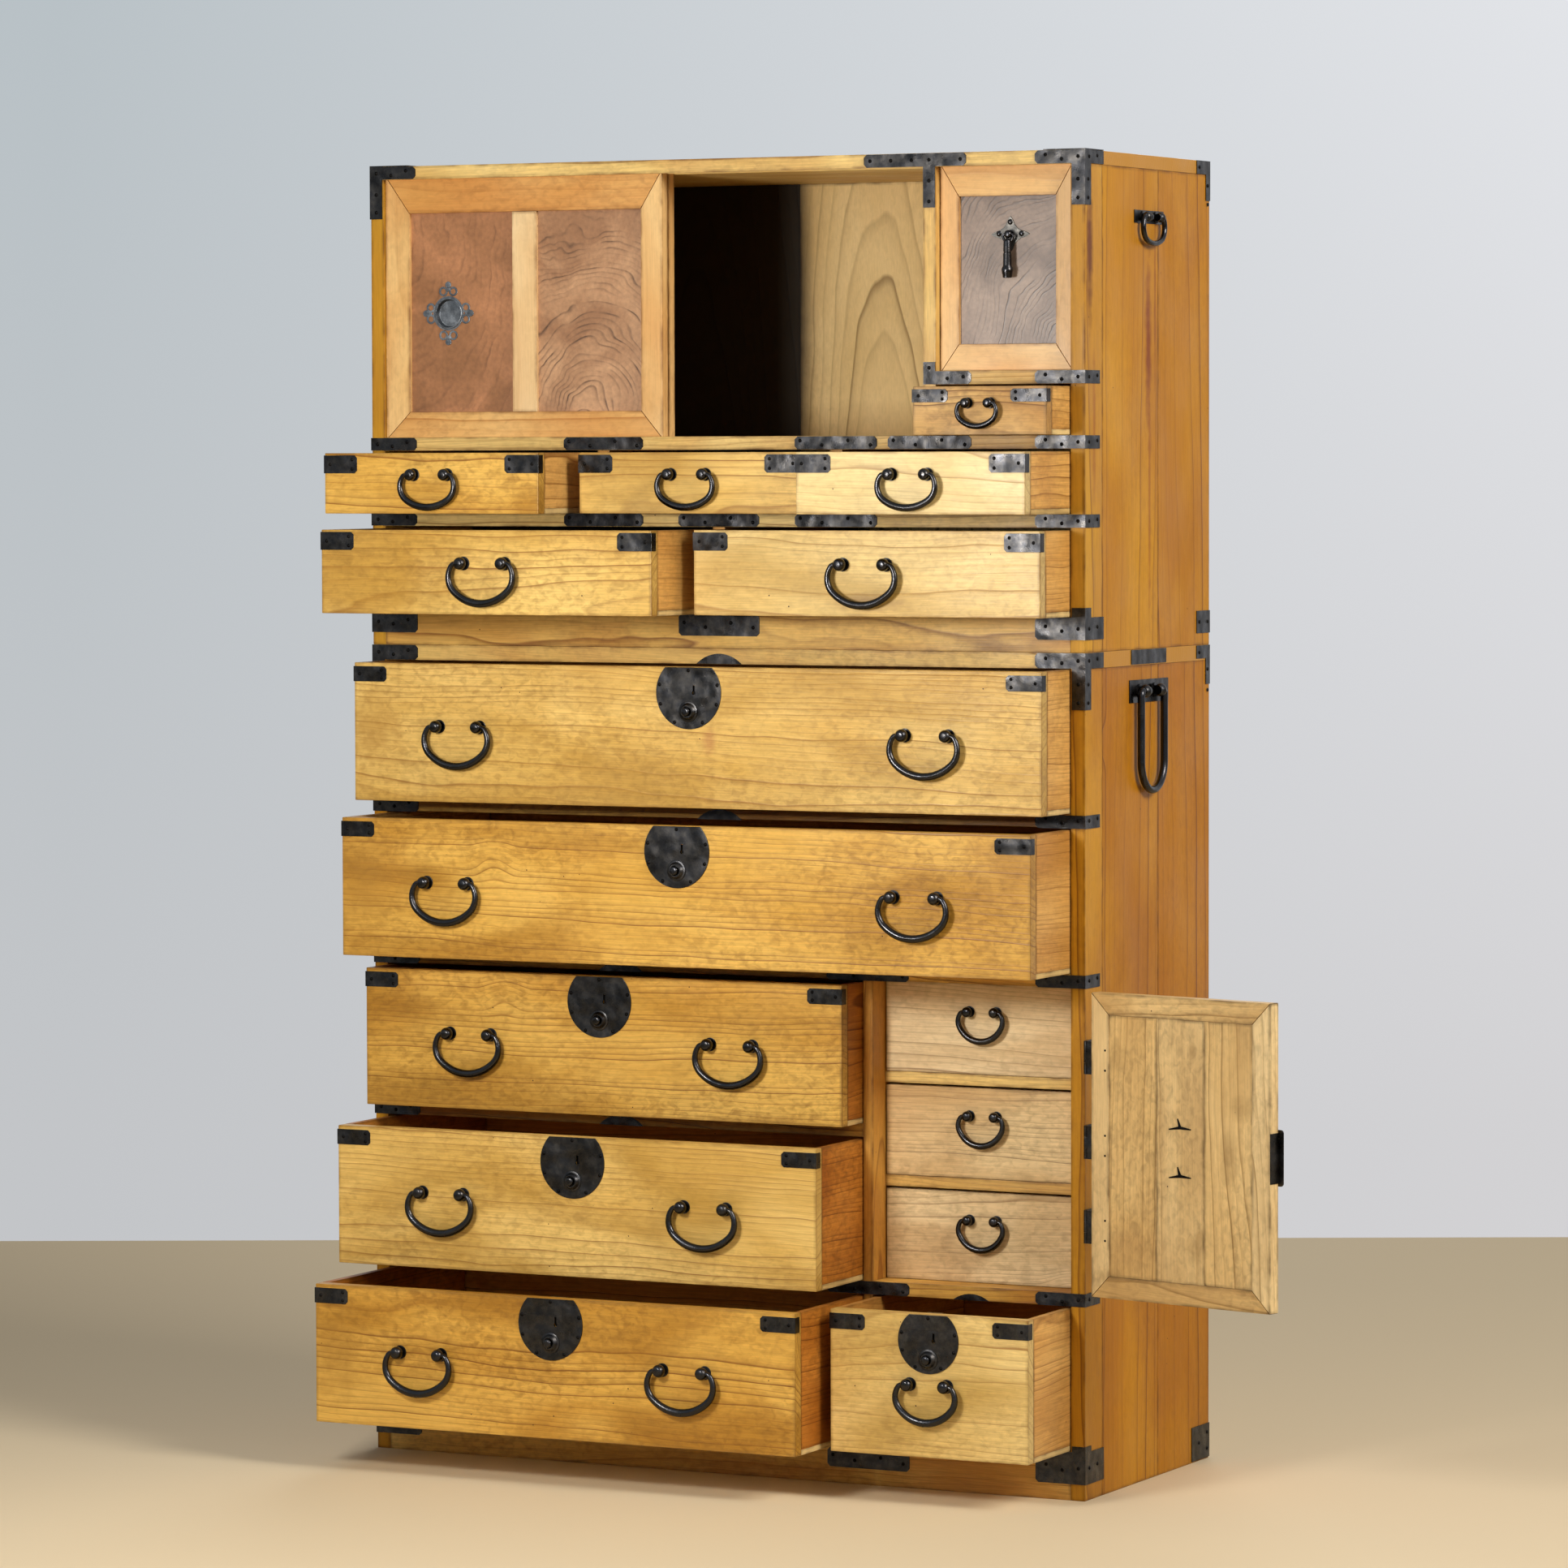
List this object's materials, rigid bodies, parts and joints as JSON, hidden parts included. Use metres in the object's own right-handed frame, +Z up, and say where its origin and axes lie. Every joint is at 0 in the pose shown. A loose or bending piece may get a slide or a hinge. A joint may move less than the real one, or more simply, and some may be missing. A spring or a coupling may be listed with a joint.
{
  "type": "stacked clothing chest",
  "caption": "Stacked Japanese clothing chest with iron corners: locking drawers with iron bails, sliding doors, a lift-out door and a hinged door over inner drawers.",
  "frame": {"origin": "centre of the width and depth of the case at floor level", "axes": "+X to the right seen from the front, the drawer fronts face -Y, +Z up"},
  "size_m": [1.3859, 0.631, 1.7512],
  "materials": {
    "case_wood": "golden aged softwood, satin clear finish",
    "drawer_wood": "golden aged softwood with brown patches, satin clear finish",
    "inner_drawer_wood": "paler unfinished softwood",
    "door_wood": "golden softwood frames with reddish brown burl panels",
    "black_iron": "hand-forged iron with a baked black finish"
  },
  "bodies": {
    "case": {"upper_case": "case_wood", "lower_case": "case_wood", "case_ironwork": "black_iron"},
    "small_drawer": {"small_drawer": "drawer_wood"},
    "small_drawer_bail": {"small_drawer_bail": "black_iron"},
    "upper_left_drawer": {"upper_left_drawer": "drawer_wood"},
    "upper_left_drawer_bail": {"upper_left_drawer_bail": "black_iron"},
    "upper_middle_drawer": {"upper_middle_drawer": "drawer_wood"},
    "upper_middle_drawer_bail": {"upper_middle_drawer_bail": "black_iron"},
    "upper_right_drawer": {"upper_right_drawer": "drawer_wood"},
    "upper_right_drawer_bail": {"upper_right_drawer_bail": "black_iron"},
    "upper_wide_left_drawer": {"upper_wide_left_drawer": "drawer_wood"},
    "upper_wide_left_drawer_bail": {"upper_wide_left_drawer_bail": "black_iron"},
    "upper_wide_right_drawer": {"upper_wide_right_drawer": "drawer_wood"},
    "upper_wide_right_drawer_bail": {"upper_wide_right_drawer_bail": "black_iron"},
    "long_drawer_1": {"long_drawer_1": "drawer_wood", "long_drawer_1_ironwork": "black_iron"},
    "long_drawer_1_left_bail": {"long_drawer_1_left_bail": "black_iron"},
    "long_drawer_1_right_bail": {"long_drawer_1_right_bail": "black_iron"},
    "long_drawer_1_lock_button": {"long_drawer_1_lock_button": "black_iron"},
    "long_drawer_2": {"long_drawer_2": "drawer_wood", "long_drawer_2_ironwork": "black_iron"},
    "long_drawer_2_left_bail": {"long_drawer_2_left_bail": "black_iron"},
    "long_drawer_2_right_bail": {"long_drawer_2_right_bail": "black_iron"},
    "long_drawer_2_lock_button": {"long_drawer_2_lock_button": "black_iron"},
    "lower_drawer_3": {"lower_drawer_3": "drawer_wood", "lower_drawer_3_ironwork": "black_iron"},
    "lower_drawer_3_left_bail": {"lower_drawer_3_left_bail": "black_iron"},
    "lower_drawer_3_right_bail": {"lower_drawer_3_right_bail": "black_iron"},
    "lower_drawer_3_lock_button": {"lower_drawer_3_lock_button": "black_iron"},
    "lower_drawer_4": {"lower_drawer_4": "drawer_wood", "lower_drawer_4_ironwork": "black_iron"},
    "lower_drawer_4_left_bail": {"lower_drawer_4_left_bail": "black_iron"},
    "lower_drawer_4_right_bail": {"lower_drawer_4_right_bail": "black_iron"},
    "lower_drawer_4_lock_button": {"lower_drawer_4_lock_button": "black_iron"},
    "lower_drawer_5": {"lower_drawer_5": "drawer_wood", "lower_drawer_5_ironwork": "black_iron"},
    "lower_drawer_5_left_bail": {"lower_drawer_5_left_bail": "black_iron"},
    "lower_drawer_5_right_bail": {"lower_drawer_5_right_bail": "black_iron"},
    "lower_drawer_5_lock_button": {"lower_drawer_5_lock_button": "black_iron"},
    "corner_drawer": {"corner_drawer": "drawer_wood", "corner_drawer_ironwork": "black_iron"},
    "corner_drawer_bail": {"corner_drawer_bail": "black_iron"},
    "corner_drawer_lock_button": {"corner_drawer_lock_button": "black_iron"},
    "inner_drawer_1": {"inner_drawer_1": "inner_drawer_wood"},
    "inner_drawer_1_bail": {"inner_drawer_1_bail": "black_iron"},
    "inner_drawer_2": {"inner_drawer_2": "inner_drawer_wood"},
    "inner_drawer_2_bail": {"inner_drawer_2_bail": "black_iron"},
    "inner_drawer_3": {"inner_drawer_3": "inner_drawer_wood"},
    "inner_drawer_3_bail": {"inner_drawer_3_bail": "black_iron"},
    "sliding_door_front": {"sliding_door_front": "door_wood"},
    "sliding_door_back": {"sliding_door_back": "door_wood"},
    "lift_out_door": {"lift_out_door": "door_wood"},
    "lift_out_door_pull": {"lift_out_door_pull": "black_iron"},
    "hinged_door": {"hinged_door": "door_wood"},
    "hinged_door_bail": {"hinged_door_bail": "black_iron"},
    "upper_right_ring": {"upper_right_ring": "black_iron"},
    "lower_right_bail": {"lower_right_bail": "black_iron"},
    "upper_left_ring": {"upper_left_ring": "black_iron"},
    "lower_left_bail": {"lower_left_bail": "black_iron"}
  },
  "joints": [
    {"name": "small_drawer_slide", "type": "slide", "parent": "case", "child": "small_drawer", "axis": [0, -1, 0], "range_m": [-0.073, 0.285]},
    {"name": "small_drawer_bail_swing", "type": "hinge", "parent": "small_drawer", "child": "small_drawer_bail", "pos_m": [0.414, -0.2878, 1.4243], "axis": [-1, 0, 0], "range_deg": [-5, 170]},
    {"name": "upper_left_drawer_slide", "type": "slide", "parent": "case", "child": "upper_left_drawer", "axis": [0, -1, 0], "range_m": [-0.163, 0.195]},
    {"name": "upper_left_drawer_bail_swing", "type": "hinge", "parent": "upper_left_drawer", "child": "upper_left_drawer_bail", "pos_m": [-0.346, -0.3795, 1.333], "axis": [-1, 0, 0], "range_deg": [-5, 170]},
    {"name": "upper_middle_drawer_slide", "type": "slide", "parent": "case", "child": "upper_middle_drawer", "axis": [0, -1, 0], "range_m": [-0.088, 0.27]},
    {"name": "upper_middle_drawer_bail_swing", "type": "hinge", "parent": "upper_middle_drawer", "child": "upper_middle_drawer_bail", "pos_m": [0, -0.3045, 1.333], "axis": [-1, 0, 0], "range_deg": [-5, 170]},
    {"name": "upper_right_drawer_slide", "type": "slide", "parent": "case", "child": "upper_right_drawer", "axis": [0, -1, 0], "range_m": [-0.139, 0.219]},
    {"name": "upper_right_drawer_bail_swing", "type": "hinge", "parent": "upper_right_drawer", "child": "upper_right_drawer_bail", "pos_m": [0.346, -0.3555, 1.333], "axis": [-1, 0, 0], "range_deg": [-5, 170]},
    {"name": "upper_wide_left_drawer_slide", "type": "slide", "parent": "case", "child": "upper_wide_left_drawer", "axis": [0, -1, 0], "range_m": [-0.173, 0.185]},
    {"name": "upper_wide_left_drawer_bail_swing", "type": "hinge", "parent": "upper_wide_left_drawer", "child": "upper_wide_left_drawer_bail", "pos_m": [-0.2595, -0.39, 1.216], "axis": [-1, 0, 0], "range_deg": [-5, 170]},
    {"name": "upper_wide_right_drawer_slide", "type": "slide", "parent": "case", "child": "upper_wide_right_drawer", "axis": [0, -1, 0], "range_m": [-0.093, 0.265]},
    {"name": "upper_wide_right_drawer_bail_swing", "type": "hinge", "parent": "upper_wide_right_drawer", "child": "upper_wide_right_drawer_bail", "pos_m": [0.2595, -0.31, 1.216], "axis": [-1, 0, 0], "range_deg": [-5, 170]},
    {"name": "long_drawer_1_slide", "type": "slide", "parent": "case", "child": "long_drawer_1", "axis": [0, -1, 0], "range_m": [-0.088, 0.27]},
    {"name": "long_drawer_1_left_bail_swing", "type": "hinge", "parent": "long_drawer_1", "child": "long_drawer_1_left_bail", "pos_m": [-0.346, -0.305, 0.9935], "axis": [-1, 0, 0], "range_deg": [-5, 170]},
    {"name": "long_drawer_1_right_bail_swing", "type": "hinge", "parent": "long_drawer_1", "child": "long_drawer_1_right_bail", "pos_m": [0.346, -0.305, 0.9935], "axis": [-1, 0, 0], "range_deg": [-5, 170]},
    {"name": "long_drawer_1_lock_button_press", "type": "slide", "parent": "long_drawer_1", "child": "long_drawer_1_lock_button", "axis": [0, 1, 0], "range_m": [0, 0.0036], "stiffness_N_per_m": 400, "springref_m": -0.003},
    {"name": "long_drawer_2_slide", "type": "slide", "parent": "case", "child": "long_drawer_2", "axis": [0, -1, 0], "range_m": [-0.123, 0.235]},
    {"name": "long_drawer_2_left_bail_swing", "type": "hinge", "parent": "long_drawer_2", "child": "long_drawer_2_left_bail", "pos_m": [-0.346, -0.34, 0.7865], "axis": [-1, 0, 0], "range_deg": [-5, 170]},
    {"name": "long_drawer_2_right_bail_swing", "type": "hinge", "parent": "long_drawer_2", "child": "long_drawer_2_right_bail", "pos_m": [0.346, -0.34, 0.7865], "axis": [-1, 0, 0], "range_deg": [-5, 170]},
    {"name": "long_drawer_2_lock_button_press", "type": "slide", "parent": "long_drawer_2", "child": "long_drawer_2_lock_button", "axis": [0, 1, 0], "range_m": [0, 0.0036], "stiffness_N_per_m": 400, "springref_m": -0.003},
    {"name": "lower_drawer_3_slide", "type": "slide", "parent": "case", "child": "lower_drawer_3", "axis": [0, -1, 0], "range_m": [-0.061, 0.297]},
    {"name": "lower_drawer_3_left_bail_swing", "type": "hinge", "parent": "lower_drawer_3", "child": "lower_drawer_3_left_bail", "pos_m": [-0.3465, -0.278, 0.5795], "axis": [-1, 0, 0], "range_deg": [-5, 170]},
    {"name": "lower_drawer_3_right_bail_swing", "type": "hinge", "parent": "lower_drawer_3", "child": "lower_drawer_3_right_bail", "pos_m": [0.0475, -0.278, 0.5795], "axis": [-1, 0, 0], "range_deg": [-5, 170]},
    {"name": "lower_drawer_3_lock_button_press", "type": "slide", "parent": "lower_drawer_3", "child": "lower_drawer_3_lock_button", "axis": [0, 1, 0], "range_m": [0, 0.0036], "stiffness_N_per_m": 400, "springref_m": -0.003},
    {"name": "lower_drawer_4_slide", "type": "slide", "parent": "case", "child": "lower_drawer_4", "axis": [0, -1, 0], "range_m": [-0.138, 0.22]},
    {"name": "lower_drawer_4_left_bail_swing", "type": "hinge", "parent": "lower_drawer_4", "child": "lower_drawer_4_left_bail", "pos_m": [-0.3465, -0.355, 0.3725], "axis": [-1, 0, 0], "range_deg": [-5, 170]},
    {"name": "lower_drawer_4_right_bail_swing", "type": "hinge", "parent": "lower_drawer_4", "child": "lower_drawer_4_right_bail", "pos_m": [0.0475, -0.355, 0.3725], "axis": [-1, 0, 0], "range_deg": [-5, 170]},
    {"name": "lower_drawer_4_lock_button_press", "type": "slide", "parent": "lower_drawer_4", "child": "lower_drawer_4_lock_button", "axis": [0, 1, 0], "range_m": [0, 0.0036], "stiffness_N_per_m": 400, "springref_m": -0.003},
    {"name": "lower_drawer_5_slide", "type": "slide", "parent": "case", "child": "lower_drawer_5", "axis": [0, -1, 0], "range_m": [-0.2, 0.158]},
    {"name": "lower_drawer_5_left_bail_swing", "type": "hinge", "parent": "lower_drawer_5", "child": "lower_drawer_5_left_bail", "pos_m": [-0.3465, -0.417, 0.1655], "axis": [-1, 0, 0], "range_deg": [-5, 170]},
    {"name": "lower_drawer_5_right_bail_swing", "type": "hinge", "parent": "lower_drawer_5", "child": "lower_drawer_5_right_bail", "pos_m": [0.0475, -0.417, 0.1655], "axis": [-1, 0, 0], "range_deg": [-5, 170]},
    {"name": "lower_drawer_5_lock_button_press", "type": "slide", "parent": "lower_drawer_5", "child": "lower_drawer_5_lock_button", "axis": [0, 1, 0], "range_m": [0, 0.0036], "stiffness_N_per_m": 400, "springref_m": -0.003},
    {"name": "corner_drawer_slide", "type": "slide", "parent": "case", "child": "corner_drawer", "axis": [0, -1, 0], "range_m": [-0.131, 0.227]},
    {"name": "corner_drawer_bail_swing", "type": "hinge", "parent": "corner_drawer", "child": "corner_drawer_bail", "pos_m": [0.3675, -0.348, 0.1585], "axis": [-1, 0, 0], "range_deg": [-5, 170]},
    {"name": "corner_drawer_lock_button_press", "type": "slide", "parent": "corner_drawer", "child": "corner_drawer_lock_button", "axis": [0, 1, 0], "range_m": [0, 0.0036], "stiffness_N_per_m": 400, "springref_m": -0.003},
    {"name": "inner_drawer_1_slide", "type": "slide", "parent": "case", "child": "inner_drawer_1", "axis": [0, -1, 0], "range_m": [0, 0.32]},
    {"name": "inner_drawer_1_bail_swing", "type": "hinge", "parent": "inner_drawer_1", "child": "inner_drawer_1_bail", "pos_m": [0.3675, -0.1775, 0.6273], "axis": [-1, 0, 0], "range_deg": [-5, 150]},
    {"name": "inner_drawer_2_slide", "type": "slide", "parent": "case", "child": "inner_drawer_2", "axis": [0, -1, 0], "range_m": [0, 0.32]},
    {"name": "inner_drawer_2_bail_swing", "type": "hinge", "parent": "inner_drawer_2", "child": "inner_drawer_2_bail", "pos_m": [0.3675, -0.1775, 0.4903], "axis": [-1, 0, 0], "range_deg": [-5, 170]},
    {"name": "inner_drawer_3_slide", "type": "slide", "parent": "case", "child": "inner_drawer_3", "axis": [0, -1, 0], "range_m": [0, 0.32]},
    {"name": "inner_drawer_3_bail_swing", "type": "hinge", "parent": "inner_drawer_3", "child": "inner_drawer_3_bail", "pos_m": [0.3675, -0.1775, 0.3533], "axis": [-1, 0, 0], "range_deg": [-5, 170]},
    {"name": "sliding_door_front_slide", "type": "slide", "parent": "case", "child": "sliding_door_front", "axis": [1, 0, 0], "range_m": [0, 0.3855]},
    {"name": "sliding_door_back_slide", "type": "slide", "parent": "case", "child": "sliding_door_back", "axis": [1, 0, 0], "range_m": [0, 0.3855]},
    {"name": "lift_out_door_lift", "type": "slide", "parent": "case", "child": "lift_out_door", "axis": [0, 0, 1], "range_m": [0, 0.0045]},
    {"name": "lift_out_door_pull_swing", "type": "hinge", "parent": "lift_out_door", "child": "lift_out_door_pull", "pos_m": [0.4176, -0.197, 1.643], "axis": [-1, 0, 0], "range_deg": [-3, 170]},
    {"name": "hinged_door_swing", "type": "hinge", "parent": "case", "child": "hinged_door", "pos_m": [0.533, -0.209, 0.469], "axis": [0, 0, 1], "range_deg": [-167, 83]},
    {"name": "hinged_door_bail_swing", "type": "hinge", "parent": "hinged_door", "child": "hinged_door_bail", "pos_m": [0.69528, -0.23846, 0.469], "axis": [0, 0, -1], "range_deg": [-5, 170]},
    {"name": "upper_right_ring_swing", "type": "hinge", "parent": "case", "child": "upper_right_ring", "pos_m": [0.5382, 0, 1.669], "axis": [0, -1, 0], "range_deg": [-3, 170]},
    {"name": "lower_right_bail_swing", "type": "hinge", "parent": "case", "child": "lower_right_bail", "pos_m": [0.5392, -0.006, 1.047], "axis": [0, -1, 0], "range_deg": [-1, 120]},
    {"name": "upper_left_ring_swing", "type": "hinge", "parent": "case", "child": "upper_left_ring", "pos_m": [-0.5382, 0, 1.669], "axis": [0, 1, 0], "range_deg": [-3, 170]},
    {"name": "lower_left_bail_swing", "type": "hinge", "parent": "case", "child": "lower_left_bail", "pos_m": [-0.5392, -0.006, 1.047], "axis": [0, 1, 0], "range_deg": [-1, 120]}
  ]
}
